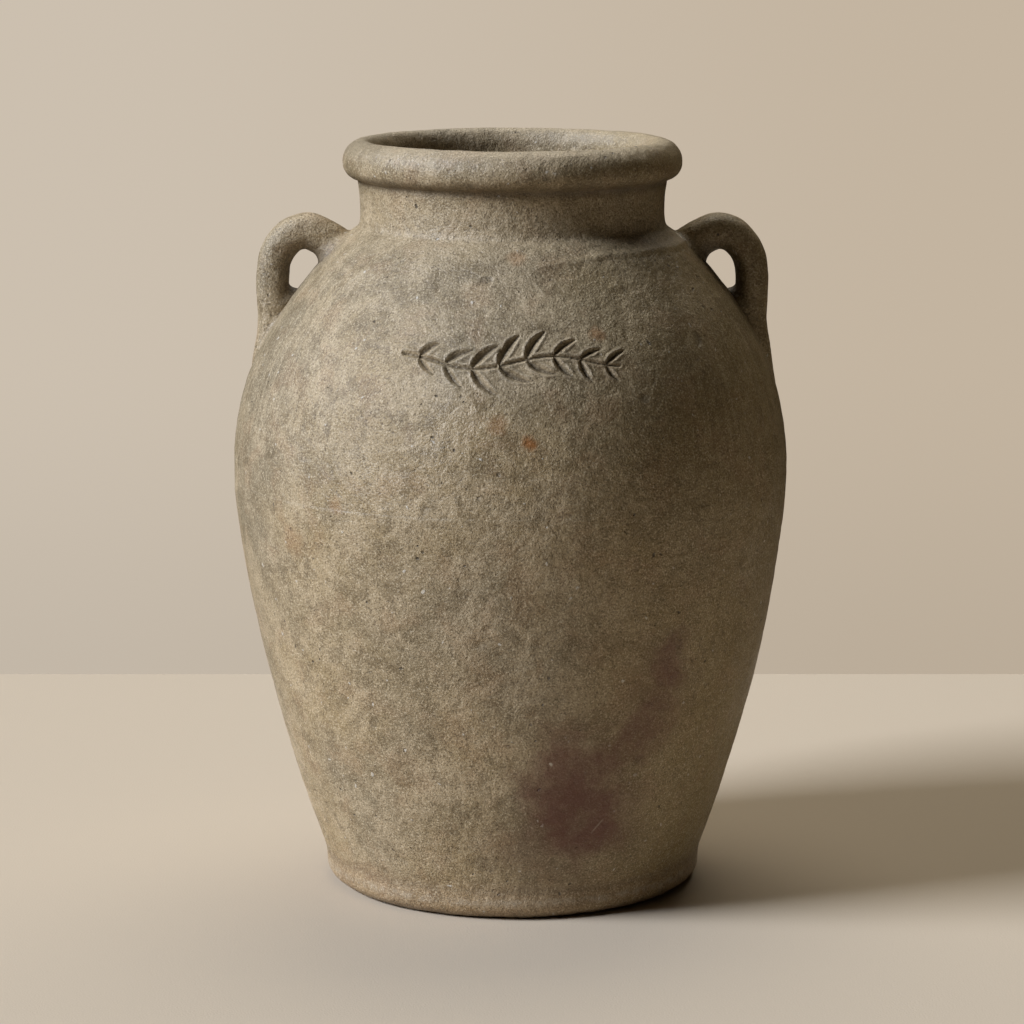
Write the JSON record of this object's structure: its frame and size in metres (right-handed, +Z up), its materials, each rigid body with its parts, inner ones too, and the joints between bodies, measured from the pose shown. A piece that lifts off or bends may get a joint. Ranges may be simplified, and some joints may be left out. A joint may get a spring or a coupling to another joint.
{
  "type": "two-handled storage jar",
  "caption": "Broad-shouldered stoneware jar with a short neck, rolled rim, flat foot and a loop handle on each side.",
  "frame": {"origin": "middle of the foot's underside, on the surface that the jar stands on", "axes": "+Z up along the jar's axis, X through the two handles, -Y towards the face with the incised sprig"},
  "size_m": [0.298, 0.298, 0.4],
  "materials": {
    "stoneware": "matte, sandy, unglazed"
  },
  "bodies": {
    "root": {"base": "stoneware", "lower_wall": "stoneware", "shoulder_wall": "stoneware", "neck_collar": "stoneware", "rim_coil": "stoneware", "handle_left": "stoneware", "handle_right": "stoneware", "root_coil_left": "stoneware", "root_coil_right": "stoneware"}
  },
  "joints": []
}
